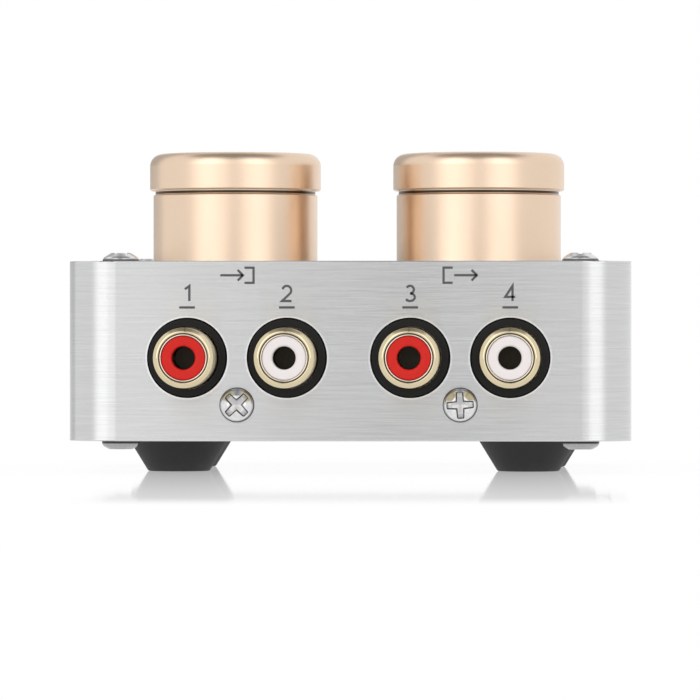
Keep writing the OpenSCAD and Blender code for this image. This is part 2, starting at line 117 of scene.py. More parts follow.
class Finish:
    """The node tree of one material or of the world, with one method that adds any node."""

    def __init__(self, owner):
        owner.use_nodes = True
        self.owner = owner
        self.tree = owner.node_tree
        self.tree.nodes.clear()

    def node(self, kind, settings=None, sockets=None, out=0):
        """Adds a node: its settings first, then the values or links of its sockets. Returns one output."""
        made = self.tree.nodes.new("ShaderNode" + kind)
        for name, value in (settings or {}).items():
            setattr(made, name, value)
        for name, value in (sockets or {}).items():
            if isinstance(value, Link):
                self.tree.links.new(value.socket, made.inputs[name])
            else:
                made.inputs[name].default_value = value
        return Link(self, made.outputs[out]) if made.outputs else None

    def vector(self, operation, first, second, out=0):
        """One Vector Math node with two vectors. Its second output is a plain number."""
        return self.node("VectorMath", {"operation": operation}, {0: first, 1: second}, out)

    def rays(self, *numbers):
        """1 for light paths of any of the kinds given by their output numbers."""
        total = sum(self.node("LightPath", out=number) for number in numbers)
        return self.node("Clamp", None, {0: total})

    def place(self, centre=(0, 0, 0)):
        """Object coordinates measured from a centre, in metres."""
        return self.node("Mapping", None, {
            "Vector": self.node("TexCoord", out=3),
            "Location": tuple(-x for x in centre),
        })

    def axis(self, place, number):
        """One coordinate of a place: 0, 1 and 2 are X, Y and Z."""
        return self.node("SeparateXYZ", None, {0: place}, out=number)

    def noise(self, place, size, detail=2.0, rough=0.5):
        """Cloudy pattern from 0 to 1, whose spots measure size, in millimetres along X, Y and Z."""
        stretch = tuple(1 / (length * MM) for length in size)
        return self.node("TexNoise", None, {
            "Vector": self.vector("MULTIPLY", place, stretch),
            "Scale": 1.0,
            "Detail": detail,
            "Roughness": rough,
        })

    def ease(self, value, none, full):
        """0 at none, 1 at full and a smooth change between them. Either of the two may be the larger."""
        return self.node("MapRange", {"interpolation_type": "SMOOTHSTEP"}, {
            "Value": value, "From Min": none, "From Max": full,
        })

    def tint(self, share, first, second):
        """Colour that goes from first to second as share goes from 0 to 1."""
        return self.node("Mix", {"data_type": "RGBA"}, {0: share, 6: first, 7: second}, out=2)

    def scaled(self, colour, value):
        """Colour multiplied by a value that varies."""
        grey = self.node("CombineXYZ", None, {0: value, 1: value, 2: value})
        return self.vector("MULTIPLY", colour, grey)

    def bump(self, height, depth, strength):
        """Normal of a surface whose relief is depth millimetres where height goes from 0 to 1."""
        return self.node("Bump", None, {"Height": height, "Distance": depth * MM, "Strength": strength})

    def principled(self, **sockets):
        """Ends a material with a Principled shader, whose sockets are named with underscores for spaces."""
        named = {name.replace("_", " "): value for name, value in sockets.items()}
        shader = self.node("BsdfPrincipled", None, named)
        self.node("OutputMaterial", None, {"Surface": shader})
        return self.owner


def new_finish(name):
    """The empty node tree of a new material."""
    return Finish(bpy.data.materials.new(name))


def rgb(red, green, blue):
    """Opaque colour."""
    return (red, green, blue, 1.0)


# Materials

# Turn of the gloss at which level brushing spreads reflections up and down
LEVEL_BRUSHING = 0.25


def from_socket_axis(f, place):
    """Distance to the axis of the nearest socket.

    The sockets lie mirrored about the case's middle and about the middle of each pair, so folding the
    wall twice brings them all onto one."""
    outer, inner = (MOUNTS[f"output_{channel}_barrel"]["pos_m"] for channel in ("left", "right"))
    folded = abs(abs(abs(f.axis(place, 0)) - (outer[0] + inner[0]) / 2) - (outer[0] - inner[0]) / 2)
    level = f.axis(place, 2) - outer[2]
    return f.vector("LENGTH", f.node("CombineXYZ", None, {0: folded, 2: level}), (0, 0, 0), out=1)


# Painted highlight round each socket hole, standing for a broken edge: where it ends and where it is full,
# from the socket's axis
HOLE_GLINT_REACH = (5.98 * MM, 5.72 * MM)
# Height of the band along each rim of the case that is polished and painted lighter as a highlight
RIM_BAND = 0.35 * MM


def brushed_case():
    """Aluminium brushed round the ring: thin level streaks, with polished rims painted lighter as a
    highlight, and a painted highlight round each socket hole.
    """
    f = new_finish("brushed_case")
    place = f.place()
    fine = f.noise(place, (7, 7, 0.13), 3.0, 0.6)
    broad = f.noise(place, (30, 30, 0.6))
    smudge = f.noise(place, (14, 14, 9))
    streaks = fine * 0.8 + broad * 0.2
    height = f.axis(place, 2)
    top_rim = f.ease(height, CASE_HIGH.z - RIM_BAND, CASE_HIGH.z)
    bottom_rim = f.ease(height, CASE_LOW.z + RIM_BAND, CASE_LOW.z)
    rim = top_rim + bottom_rim
    on_socket_wall = f.ease(f.axis(place, 1), 0, CASE_LOW.y)
    hole_glint = f.ease(from_socket_axis(f, place), *HOLE_GLINT_REACH) * on_socket_wall
    # Rims and socket-hole edges are painted lighter: painted highlights
    tone = 0.80 + streaks * 0.40 + rim * 0.06 + hole_glint * 0.3
    return f.principled(
        Base_Color=f.scaled((0.622, 0.624, 0.627), tone),
        Metallic=1.0,
        Roughness=0.14 + fine * 0.12 + smudge * 0.05 - rim * 0.04,
        Anisotropic=1.0,
        Anisotropic_Rotation=LEVEL_BRUSHING,
        Normal=f.bump(streaks, 0.006, 0.5),
    )


def brushed_plate():
    """Aluminium plate brushed along the case's width, with fine handling marks."""
    f = new_finish("brushed_plate")
    place = f.place()
    fine = f.noise(place, (12, 0.18, 12), 3.0, 0.6)
    broad = f.noise(place, (50, 0.9, 50))
    smudge = f.noise(place, (11, 11, 11), 3.0)
    streaks = fine * 0.65 + broad * 0.35
    return f.principled(
        Base_Color=f.scaled((0.72, 0.724, 0.728), 0.82 + streaks * 0.36),
        Metallic=1.0,
        Roughness=0.33 + fine * 0.12 + smudge * 0.06,
        Normal=f.bump(streaks, 0.006, 0.5),
    )


# Painted shade in the groove below a knob's cap: its middle, its height, how soft its edges are and how
# dark it is
KNOB_GROOVE_BELOW_TOP = 5.72 * MM
KNOB_GROOVE_HEIGHT = 0.38 * MM
KNOB_GROOVE_SOFT = 0.03 * MM
KNOB_GROOVE_SHADE = 0.93
# Turned rings on a cap's top: their width, and how far below the top they end and are full
CAP_RING_WIDTH = 0.12 * MM
CAP_RINGS_END, CAP_RINGS_FULL = 0.25 * MM, 0.02 * MM


def satin_gold(side):
    """Champagne gold anodising over a fine blasted turning, with turned rings on the cap's top and painted
    shade in the groove below the cap.
    """
    f = new_finish("satin_gold_" + side)
    low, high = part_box("knob_" + side)
    place = f.place(((low.x + high.x) / 2, (low.y + high.y) / 2, 0))
    grit = f.noise(place, (0.13, 0.13, 0.13), 2.0, 0.6)
    bloom = f.noise(place, (6, 6, 6))
    reach = f.vector("LENGTH", f.vector("MULTIPLY", place, (1, 1, 0)), (0, 0, 0), out=1)
    rings = f.node("TexNoise", {"noise_dimensions": "1D"}, {
        "W": reach / CAP_RING_WIDTH, "Scale": 1.0, "Detail": 2.0,
    })
    below = high.z - f.axis(place, 2)
    on_top = f.ease(below, CAP_RINGS_END, CAP_RINGS_FULL)
    relief = grit * (1 - on_top) + rings * on_top
    half = KNOB_GROOVE_HEIGHT / 2
    from_groove = abs(below - KNOB_GROOVE_BELOW_TOP)
    groove = f.ease(from_groove, half + KNOB_GROOVE_SOFT, half - KNOB_GROOVE_SOFT)
    gold = f.tint(bloom, rgb(0.795, 0.61, 0.455), rgb(0.82, 0.64, 0.49))
    return f.principled(
        # The groove below the cap is painted dark: painted shade
        Base_Color=f.scaled(gold, (0.94 + relief * 0.12) * (1 - KNOB_GROOVE_SHADE * groove)),
        Metallic=1.0,
        Roughness=0.26 + grit * 0.10,
        Anisotropic=0.5,
        Anisotropic_Rotation=LEVEL_BRUSHING,
        Normal=f.bump(relief, 0.016, 0.6),
    )


# The painted shade in a barrel's lip groove: its half width, its middle from the axis, the shares of the
# half width between which its edge fades, and how dark it is
LIP_GROOVE_HALF = LIP_GROOVE / 2
LIP_GROOVE_MIDDLE = BARREL_R - LIP_WIDTH - LIP_GROOVE_HALF
LIP_GROOVE_FADE = (1.05, 0.85)
LIP_GROOVE_SHADE = 0.9
# Where the dull flank of a barrel starts and is full, from the axis
FLANK_START, FLANK_FULL = BARREL_R - 0.05 * MM, BARREL_R - 0.01 * MM


def gold_plate():
    """Bright gold plating with faint polishing haze.

    The barrels are dull on their flanks, painted dark in their grooves as painted shade, and painted pale
    on the ring inside those as a painted highlight."""
    f = new_finish("gold_plate")
    place = f.place()
    haze = f.noise(place, (1.6, 1.6, 1.6), 3.0)
    wipe = f.noise(place, (0.25, 2.5, 0.25))
    reach = from_socket_axis(f, place)
    from_groove = abs(reach - LIP_GROOVE_MIDDLE)
    groove = f.ease(from_groove, *(share * LIP_GROOVE_HALF for share in LIP_GROOVE_FADE))
    ring_highlight = f.ease(reach, LIP_GROOVE_MIDDLE, LIP_GROOVE_MIDDLE - LIP_GROOVE_HALF)
    flank = f.ease(reach, FLANK_START, FLANK_FULL)
    gold = f.tint(haze, rgb(0.65, 0.555, 0.365), rgb(0.73, 0.635, 0.435))
    # Painted highlight: the ring inside the groove is painted pale; painted shade darkens the groove itself
    highlighted_gold = f.tint(ring_highlight, gold, rgb(0.88, 0.79, 0.66))
    return f.principled(
        Base_Color=f.scaled(highlighted_gold, 1 - LIP_GROOVE_SHADE * groove),
        Metallic=1.0,
        Roughness=0.06 + wipe * 0.08 + flank * 0.3,
        Normal=f.bump(haze, 0.004, 0.4),
    )


def dark_contact():
    """Spring brass inside the sockets, painted nearly black as painted shade deep in their bores."""
    f = new_finish("dark_contact")
    stain = f.noise(f.place(), (0.8, 0.8, 0.8), 3.0)
    return f.principled(
        # Both colours are nearly black: painted shade
        Base_Color=f.tint(stain, rgb(0.03, 0.026, 0.02), rgb(0.10, 0.085, 0.06)),
        Metallic=0.8,
        Roughness=0.35 + stain * 0.2,
    )


# How bright the plating is, and its darker copy on the bottom screws, which is painted shade; its cast
# towards blue; and how dark the painted shade on the screws is
BRIGHT_LEVEL, SHADED_LEVEL = 0.76, 0.42
NICKEL_BLUE = 1.01
PAINTED_SHADE_DARK = 0.92


def nickel(name, level):
    """Nickel plating of a given brightness, with fine scratches left by the driver, and painted shade on
    screws in their crosses and round their rims, where it is also rougher.
    """
    f = new_finish(name)
    place = f.place()
    haze = f.noise(place, (0.5, 0.5, 0.5), 3.0)
    scratch = f.noise(place, (0.06, 1.4, 0.06))
    dirt = f.node("Attribute", {"attribute_name": PAINTED_SHADE}, out=2)
    # The painted shade darkens the colour in the screws' crosses and round their rims
    tone = (0.80 + haze * 0.36) * (1 - PAINTED_SHADE_DARK * dirt)
    return f.principled(
        Base_Color=f.scaled((level, level, NICKEL_BLUE * level), tone),
        Metallic=1.0,
        Roughness=0.12 + haze * 0.14 + dirt * 0.3,
        Normal=f.bump(scratch, 0.006, 0.3),
    )


def dull_metal():
    """Plated steel and brass of the rotary controls."""
    f = new_finish("dull_metal")
    place = f.place()
    cloud = f.noise(place, (2.2, 2.2, 2.2), 3.0)
    lathe = f.noise(place, (14, 14, 0.12))
    return f.principled(
        Base_Color=f.tint(cloud, rgb(0.46, 0.45, 0.43), rgb(0.58, 0.58, 0.58)),
        Metallic=1.0,
        Roughness=0.32 + cloud * 0.14,
        Normal=f.bump(lathe, 0.006, 0.4),
    )


def black_moulding():
    """Black moulded plastic with a slight sheen and a fine grain."""
    f = new_finish("black_moulding")
    place = f.place()
    grain = f.noise(place, (0.14, 0.14, 0.14), 2.0, 0.6)
    cloud = f.noise(place, (3, 3, 3))
    return f.principled(
        Base_Color=f.tint(cloud, rgb(0.003, 0.003, 0.003), rgb(0.007, 0.007, 0.007)),
        Roughness=0.40 + grain * 0.16,
        Specular_IOR_Level=0.22,
        Normal=f.bump(grain, 0.008, 0.4),
    )


# Darkest and lightest colour of the moulded cores
RED_CORE = (rgb(0.51, 0.012, 0.008), rgb(0.57, 0.017, 0.011))
WHITE_CORE = (rgb(0.68, 0.635, 0.63), rgb(0.73, 0.685, 0.675))


def socket_core(name, dark, light):
    """Glossy moulded core: colour that clouds a little, with faint flow marks."""
    f = new_finish(name)
    place = f.place()
    cloud = f.noise(place, (1.4, 1.4, 1.4), 3.0)
    flow = f.noise(place, (0.5, 3, 0.5))
    return f.principled(
        Base_Color=f.tint(cloud, dark, light),
        Roughness=0.28 + flow * 0.14,
        Specular_IOR_Level=0.18,
        Normal=f.bump(flow, 0.006, 0.3),
    )


# Height above the floor up to which the feet are dusty
DUST_HEIGHT = 1.6 * MM


def foot_rubber():
    """Matt rubber with a moulded grain and a trace of dust towards the floor."""
    f = new_finish("foot_rubber")
    place = f.place()
    grain = f.noise(place, (0.22, 0.22, 0.22), 3.0, 0.6)
    dust = f.noise(place, (2.5, 2.5, 2.5), 3.0) * f.ease(f.axis(place, 2), DUST_HEIGHT, 0)
    return f.principled(
        Base_Color=f.tint(dust, rgb(0.012, 0.012, 0.012), rgb(0.045, 0.045, 0.043)),
        Roughness=0.55 + grain * 0.2,
        Sheen_Weight=0.07,
        Normal=f.bump(grain, 0.02, 0.5),
    )


def green_board():
    """Lacquered glass laminate with its weave and its copper showing faintly."""
    f = new_finish("green_board")
    place = f.place()
    weave = f.noise(place, (0.5, 6, 6), 1.0) + f.noise(place, (6, 0.5, 6), 1.0)
    copper = f.ease(f.noise(place, (4, 1.2, 4), 1.0), 0.52, 0.56)
    return f.principled(
        Base_Color=f.tint(copper, rgb(0.012, 0.085, 0.035), rgb(0.03, 0.15, 0.06)),
        Roughness=0.3 + weave * 0.08,
        Normal=f.bump(weave + copper, 0.01, 0.4),
    )


def brown_wafer():
    """Phenolic paper laminate of the resistor wafers."""
    f = new_finish("brown_wafer")
    fibre = f.noise(f.place(), (3, 0.4, 3), 3.0)
    return f.principled(
        Base_Color=f.tint(fibre, rgb(0.14, 0.065, 0.025), rgb(0.24, 0.12, 0.05)),
        Roughness=0.5 + fibre * 0.15,
        Normal=f.bump(fibre, 0.01, 0.4),
    )


def legend_ink():
    """Dark grey printing ink, a little uneven over the brushed metal."""
    f = new_finish("legend_ink")
    patch = f.noise(f.place(), (0.3, 0.3, 0.12), 3.0)
    return f.principled(
        Base_Color=f.tint(patch, rgb(0.05, 0.05, 0.052), rgb(0.085, 0.085, 0.088)),
        Roughness=0.5 + patch * 0.2,
        Normal=f.bump(patch, 0.004, 0.3),
    )


# Surfaces

# Edges that turn by more than this, in degrees, stay sharp
SHARP_EDGE = 35
# Points that agree to this many decimals of a metre are one
MERGE_DIGITS = 9


def outline(corners, steps=8):
    """Outline through corners (x, y, radius).

    A corner with a radius becomes an arc that touches both of its sides: the arc's centre lies on the
    line that halves the corner, and the points swing round it from one side to the other."""
    points = np.array(corners, float)
    spots, radii = points[:, :2], points[:, 2]
    share = np.linspace(0, 1, steps + 1)[:, None]
    stretches = []
    for before, spot, after, radius in zip(np.roll(spots, 1, 0), spots, np.roll(spots, -1, 0), radii):
        if radius == 0:
            stretches.append(spot[None])
            continue
        back = (before - spot) / np.linalg.norm(before - spot)
        ahead = (after - spot) / np.linalg.norm(after - spot)
        half = np.arccos(np.clip(back @ ahead, -1, 1)) / 2
        centre = spot + (back + ahead) / np.linalg.norm(back + ahead) * radius / np.sin(half)
        start = spot + back * radius / np.tan(half) - centre
        end = spot + ahead * radius / np.tan(half) - centre
        swing = pi - 2 * half
        swung = np.sin((1 - share) * swing) * start + np.sin(share * swing) * end
        stretches.append(centre + swung / np.sin(swing))
    return np.concatenate(stretches)


class Stand:
    """Where a turned piece stands: a centre and three directions, the last one along its axis."""

    def __init__(self, centre, across, up, out):
        self.centre = np.array(centre, float)
        self.ways = np.array([across, up, out], float)

    def put(self, local):
        """Points given along the three directions, in the part's frame."""
        return self.centre + local @ self.ways


def upright(x, y, out=1):
    """A stand on the floor's level whose axis points up, or down where out is -1."""
    return Stand((x, y, 0), (1, 0, 0), (0, out, 0), (0, 0, out))


def out_of_wall(x, z):
    """A stand in the case's middle whose axis points out of the socket wall."""
    return Stand((x, 0, z), (1, 0, 0), (0, 0, 1), (0, -1, 0))


def turned(profile, stand, steps=96):
    """Profile of (radius, height) carried round the stand's axis.

    The cosine and the sine of the turn, times the radius, give the two sides."""
    turn = np.arange(steps) * 2 * pi / steps
    radius = profile[:, 0, None]
    height = np.repeat(profile[:, 1, None], steps, axis=1)
    return stand.put(np.stack([radius * np.cos(turn), radius * np.sin(turn), height], axis=-1))


def skin(points, closed=False, dirt=None):
    """Faces between neighbouring points of a grid, whose columns go round and join up.

    With closed set, the last row joins the first too. Points that fall together at a pole become one,
    so the faces there close to triangles. Faces are turned outwards by the sign of the volume. The third
    array gives the painted shade at each point, from 0 to 1."""
    rows, columns = points.shape[:2]
    index = np.arange(rows * columns).reshape(rows, columns)
    index = np.concatenate([index, index[:, :1]], axis=1)
    if closed:
        index = np.concatenate([index, index[:1]], axis=0)
    corners = [index[:-1, :-1], index[1:, :-1], index[1:, 1:], index[:-1, 1:]]
    faces = np.stack(corners, axis=-1).reshape(-1, 4)
    spots = points.reshape(-1, 3).round(MERGE_DIGITS)
    places, kept, same = np.unique(spots, axis=0, return_index=True, return_inverse=True)
    faces = same.reshape(-1)[faces]
    first, second, third, fourth = places[faces].swapaxes(0, 1)
    volume = np.sum(first * np.cross(second, third)) + np.sum(first * np.cross(third, fourth))
    point_shade = np.zeros(len(places)) if dirt is None else dirt.reshape(-1)[kept]
    return places, faces if volume > 0 else faces[:, ::-1], point_shade


def make_mesh(name, places, faces):
    """Smooth mesh with sharp edges where it turns much. Corners that repeat in a face are left out."""
    kept = faces != np.roll(faces, 1, axis=1)
    counts = kept.sum(axis=1)
    whole = counts > 2
    counts = counts[whole]
    corners = faces[whole][kept[whole]]
    mesh = bpy.data.meshes.new(name)
    mesh.vertices.add(len(places))
    mesh.vertices.foreach_set("co", places.astype(np.float32).ravel())
    mesh.loops.add(len(corners))
    mesh.loops.foreach_set("vertex_index", corners.astype(np.int32))
    mesh.polygons.add(len(counts))
    mesh.polygons.foreach_set("loop_start", (np.cumsum(counts) - counts).astype(np.int32))
    mesh.update(calc_edges=True)
    mesh.validate()
    mesh.polygons.foreach_set("use_smooth", np.ones(len(mesh.polygons), bool))
    mesh.set_sharp_from_angle(angle=radians(SHARP_EDGE))
    return mesh


def make_piece(name, skins, finish, body, slot, *nodes):
    """One object from several skins, which rides on a body and replaces nodes."""
    places, faces, dirt = zip(*skins)
    starts = np.cumsum([0] + [len(spots) for spots in places[:-1]])
    shifted = [corners + start for corners, start in zip(faces, starts)]
    mesh = make_mesh(name, np.concatenate(places), np.concatenate(shifted))
    dirt = np.concatenate(dirt)
    if dirt.any():
        mesh.attributes.new(PAINTED_SHADE, "FLOAT", "POINT").data.foreach_set("value", dirt.astype(np.float32))
    mesh.materials.append(finish)
    piece = bpy.data.objects.new(name, mesh)
    bpy.context.scene.collection.objects.link(piece)
    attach(piece, body)
    if nodes:
        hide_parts(*nodes)


# Screws


class ScrewKind(NamedTuple):
    """Sizes of a kind of screw.

    The section has the end of the head's flat top, the bend of its slope and the top of its rim, in shares
    of the head's radius and height. The cross is the share of the radius that its arms reach."""

    head_r: float
    head_h: float
    shank_r: float
    section: tuple
    cross: float


DOMED = ((0.5, 1), (0.9, 0.6), (1, 0.2))
FULL = ((0.62, 1), (0.97, 0.68), (1, 0.2))
TOP_SCREW = ScrewKind(2.7 * MM, 1.65 * MM, 1.5 * MM, DOMED, 0.6)
BOTTOM_SCREW = TOP_SCREW._replace(section=FULL)
JACK_SCREW = ScrewKind(2.45 * MM, -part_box("jack_screws")[0].y - SOCKET_FACE, 1.3 * MM, DOMED, 0.8)
HEAD_ROUND = 0.7 * MM
# The point at the end of a shank: its height and the radius of its end, in shares of the shank's radius
POINT_H, POINT_R = 0.8, 0.25

# The cross: half the width of its arms in the middle and how much they draw in outwards, in shares of the
# head's radius, its depth in shares of the head's height, how much its floor rises outwards, and the
# width of its walls
ARM_WIDTH, ARM_TAPER = 0.275, 0.0625
CROSS_DEPTH = 0.62
FLOOR_RISE = 0.6
CROSS_SOFT = 0.22 * MM

# Painted shade on the cross's floor and at the rim, and where that starts and is full between bend and rim
CROSS_FLOOR_SHADE = 0.35
RIM_SHADE = 0.95
RIM_SHADE_START, RIM_SHADE_FULL = 0.05, 0.6

# How the driver left the crosses, in degrees: the first of four, the step to the next, and the sockets' two
CASE_SLANT, CASE_SLANT_STEP = 45, 17
JACK_SLANTS = (45, 3)


def rise(value):
    """Smooth step: 0 below 0, 1 above 1."""
    t = np.clip(value, 0, 1)
    return t * t * (3 - 2 * t)


def head_section(kind, rows):
    """Radii and heights along a head's section with rounded bends, at points that lie evenly along it."""
    flat, bend, rim = (np.array(shares) * (kind.head_r, kind.head_h) for shares in kind.section)
    path = outline([(0, kind.head_h, 0), (*flat, HEAD_ROUND), (*bend, HEAD_ROUND), (*rim, 0)])
    walked = np.concatenate([[0], np.cumsum(np.hypot(*np.diff(path, axis=0).T))])
    even = np.linspace(0, walked[-1], rows)
    return np.interp(even, walked, path[:, 0]), np.interp(even, walked, path[:, 1])


def pressed_cross(kind, radius, turn):
    """How deep the cross is pressed in, from 0 to 1: the deeper of two crossed bars.

    A bar is a smooth step in from its ends times one in from its sides, which draw in outwards."""
    along = radius * np.cos(turn)
    aside = radius * np.sin(turn)
    half_length = kind.cross * kind.head_r
    half_width = kind.head_r * (ARM_WIDTH - ARM_TAPER * radius / half_length)

    def bar(length, width):
        ends = rise((half_length - np.abs(length)) / CROSS_SOFT)
        walls = rise((half_width - np.abs(width)) / CROSS_SOFT)
        return ends * walls

    return np.maximum(bar(along, aside), bar(aside, along))


def head_dirt(kind, radius, cross):
    """Painted shade on a head, from 0 to 1: along the cross's walls, on its floor and at the rim.

    On the walls it is four times the cross's depth times what is left of it, so full half way down."""
    bend_r = kind.section[1][0] * kind.head_r
    past_bend = (radius - bend_r) / (kind.head_r - bend_r)
    at_rim = rise((past_bend - RIM_SHADE_START) / (RIM_SHADE_FULL - RIM_SHADE_START))
    on_walls = 4 * cross * (1 - cross)
    return np.clip(on_walls + CROSS_FLOOR_SHADE * cross ** 4 + RIM_SHADE * at_rim, 0, 1)


def screw(kind, stand, seat, tip, slant, rows=90, steps=240):
    """Pan-head screw on a grid of (path along the section, turn round the axis).

    The head's height is its section less the cross, whose floor is deepest in the middle. Seat, shank and
    point follow below."""
    turn = np.arange(steps) * 2 * pi / steps
    head_r, head_h = (values[:, None] for values in head_section(kind, rows))
    cross = pressed_cross(kind, head_r, turn - radians(slant))
    outwards = np.clip(head_r / (kind.cross * kind.head_r), 0, 1)
    head = seat + head_h - cross * CROSS_DEPTH * kind.head_h * (1 - FLOOR_RISE * outwards)
    below = np.array([
        (kind.head_r, seat),
        (kind.shank_r, seat),
        (kind.shank_r, tip + POINT_H * kind.shank_r),
        (POINT_R * kind.shank_r, tip),
        (0, tip),
    ])
    radius = np.concatenate([head_r, below[:, :1]])
    height = np.concatenate([head, np.repeat(below[:, 1:], steps, axis=1)])
    grid = np.stack([radius * np.cos(turn), radius * np.sin(turn), height], axis=-1)
    dirt = np.concatenate([head_dirt(kind, head_r, cross), np.zeros((len(below), steps))])
    return skin(stand.put(grid), dirt=dirt)


def make_case_screws(node, kind, out, finish):
    """Four screws through one plate, whose heads point up, or down where out is -1."""
    low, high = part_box(node)
    head_end, tip = (high.z, low.z) if out > 0 else (-low.z, -high.z)
    xs = (low.x + kind.head_r, high.x - kind.head_r)
    ys = (low.y + kind.head_r, high.y - kind.head_r)
    skins = []
    for number, (x, y) in enumerate(product(xs, ys)):
        slant = CASE_SLANT + CASE_SLANT_STEP * number
        skins.append(screw(kind, upright(x, y, out), head_end - kind.head_h, tip, slant))
    make_piece(node.rstrip("s") + "_set", skins, finish, "case", "screw_metal", node)


def make_jack_screws(finish):
    """One screw under each pair of sockets."""
    low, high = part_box("jack_screws")
    xs = (low.x + JACK_SCREW.head_r, high.x - JACK_SCREW.head_r)
    z = (low.z + high.z) / 2
    skins = []
    for x, slant in zip(xs, JACK_SLANTS):
        skins.append(screw(JACK_SCREW, out_of_wall(x, z), SOCKET_FACE, -high.y, slant))
    make_piece("jack_screw_set", skins, finish, "case", "screw_metal", "jack_screws")


# Phono sockets

# A barrel: its seat in the collar, the bevel, roundings and depths at its tip, and the steps round it
SEAT_SET_BACK = 5.0 * MM
LIP_BEVEL = 0.52 * MM
LIP_SLOPE = 0.72
LIP_EDGE = 0.1 * MM
LIP_CROWN = 0.3 * MM
LIP_GROOVE_DEPTH = 1.4 * MM
INNER_RING_SET_BACK = 0.12 * MM
INNER_RING_ROUND = 0.06 * MM
BARREL_STEPS = 128
# A core: its gap to barrel and contact, and the rounding of its outer edge and of its mouth
CORE_GAP = 0.05 * MM
CORE_EDGE = 0.2 * MM
MOUTH_ROUND = 0.35 * MM


def make_barrel(socket, finish):
    """Gold-plated barrel, a turned tube: seat in the collar, bevelled lip, groove and thin inner ring."""
    low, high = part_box("jack_sleeve_" + socket)
    core_low, core_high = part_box("jack_insulator_" + socket)
    stand = out_of_wall((low.x + high.x) / 2, (low.z + high.z) / 2)
    seat_r = (high.x - low.x) / 2
    bore_r = (core_high.x - core_low.x) / 2 + CORE_GAP
    lip_r = BARREL_R - LIP_WIDTH
    ring_r = lip_r - LIP_GROOVE
    tip, back = -low.y, -high.y
    seat_end = COLLAR_FACE - SEAT_SET_BACK
    ring_end = tip - INNER_RING_SET_BACK
    section = outline([
        (bore_r, back, 0),
        (seat_r, back, 0),
        (seat_r, seat_end, 0),
        (BARREL_R, seat_end, 0),
        (BARREL_R, tip - LIP_BEVEL * LIP_SLOPE, LIP_EDGE),
        (BARREL_R - LIP_BEVEL, tip, LIP_CROWN),
        (lip_r, tip, LIP_EDGE),
        (lip_r, tip - LIP_GROOVE_DEPTH, 0),
        (ring_r, tip - LIP_GROOVE_DEPTH, 0),
        (ring_r, ring_end, INNER_RING_ROUND),
        (bore_r, ring_end, INNER_RING_ROUND),
    ])
    skins = [skin(turned(section, stand, BARREL_STEPS), closed=True)]
    make_piece("barrel_" + socket, skins, finish, "case", "gold_plate", "jack_sleeve_" + socket)


def make_core(socket, finish, slot):
    """Moulded core, turned: rounded outer edge and mouth, the pin's bore and the contact's wider seat."""
    low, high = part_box("jack_insulator_" + socket)
    contact_low, contact_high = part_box("jack_contact_" + socket)
    stand = out_of_wall((low.x + high.x) / 2, (low.z + high.z) / 2)
    core_r = (high.x - low.x) / 2
    pin_r = MOUNTS[socket + "_contact"]["dims"]["r_mm"] * MM
    seat_r = (contact_high.x - contact_low.x) / 2 + CORE_GAP
    face, back, contact_front = -low.y, -high.y, -contact_low.y
    section = outline([
        (seat_r, back, 0),
        (core_r, back, 0),
        (core_r, face, CORE_EDGE),
        (pin_r, face, MOUTH_ROUND),
        (pin_r, contact_front, 0),
        (seat_r, contact_front, 0),
    ])
    skins = [skin(turned(section, stand), closed=True)]
    make_piece("core_" + socket, skins, finish, "case", slot, "jack_insulator_" + socket)


def make_sockets(gold):
    """Barrel and core of each socket: red cores for the right channel, white ones for the left."""
    cores = {
        "right": (socket_core("red_core", *RED_CORE), "red_plastic"),
        "left": (socket_core("white_core", *WHITE_CORE), "white_plastic"),
    }
    for pair, channel in product(PAIRS, CHANNELS):
        socket = f"{pair}_{channel}"
        make_barrel(socket, gold)
        make_core(socket, *cores[channel])


# Feet

FOOT_TIP_SHARE = 0.62
FOOT_TIP_ROUND = 0.45 * MM
FOOT_BAND = 0.6 * MM
FOOT_BAND_ROUND = 0.2 * MM


def make_foot(node, finish):
    """Tapered rubber foot, turned: a short upright band at its base and a rounded end."""
    low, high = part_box(node)
    stand = upright((low.x + high.x) / 2, (low.y + high.y) / 2)
    base_r = (high.x - low.x) / 2
    section = outline([
        (0, high.z, 0),
        (base_r, high.z, 0),
        (base_r, high.z - FOOT_BAND, FOOT_BAND_ROUND),
        (FOOT_TIP_SHARE * base_r, low.z, FOOT_TIP_ROUND),
        (0, low.z, 0),
    ])
    make_piece(node + "_moulding", [skin(turned(section, stand))], finish, "case", "rubber", node)


# Legends

LEGEND_HEIGHT = 2.45 * MM
LEGEND_STROKE = 0.33 * MM
LEGEND_PROUD = 0.02 * MM
# Heights above the floor at which numbers, their bars and the arrows stand
NUMBER_BASE = 24.1 * MM
BAR_BASE = 23.2 * MM
ARROW_BASE = 26.65 * MM
BAR_WIDTH = 2.2 * MM


def arc(x, y, across, up, start, end, steps=20):
    """Stretch of an ellipse from one angle to another, in degrees."""
    turn = np.radians(np.linspace(start, end, steps + 1))
    return np.stack([x + across * np.cos(turn), y + up * np.sin(turn)], axis=1)


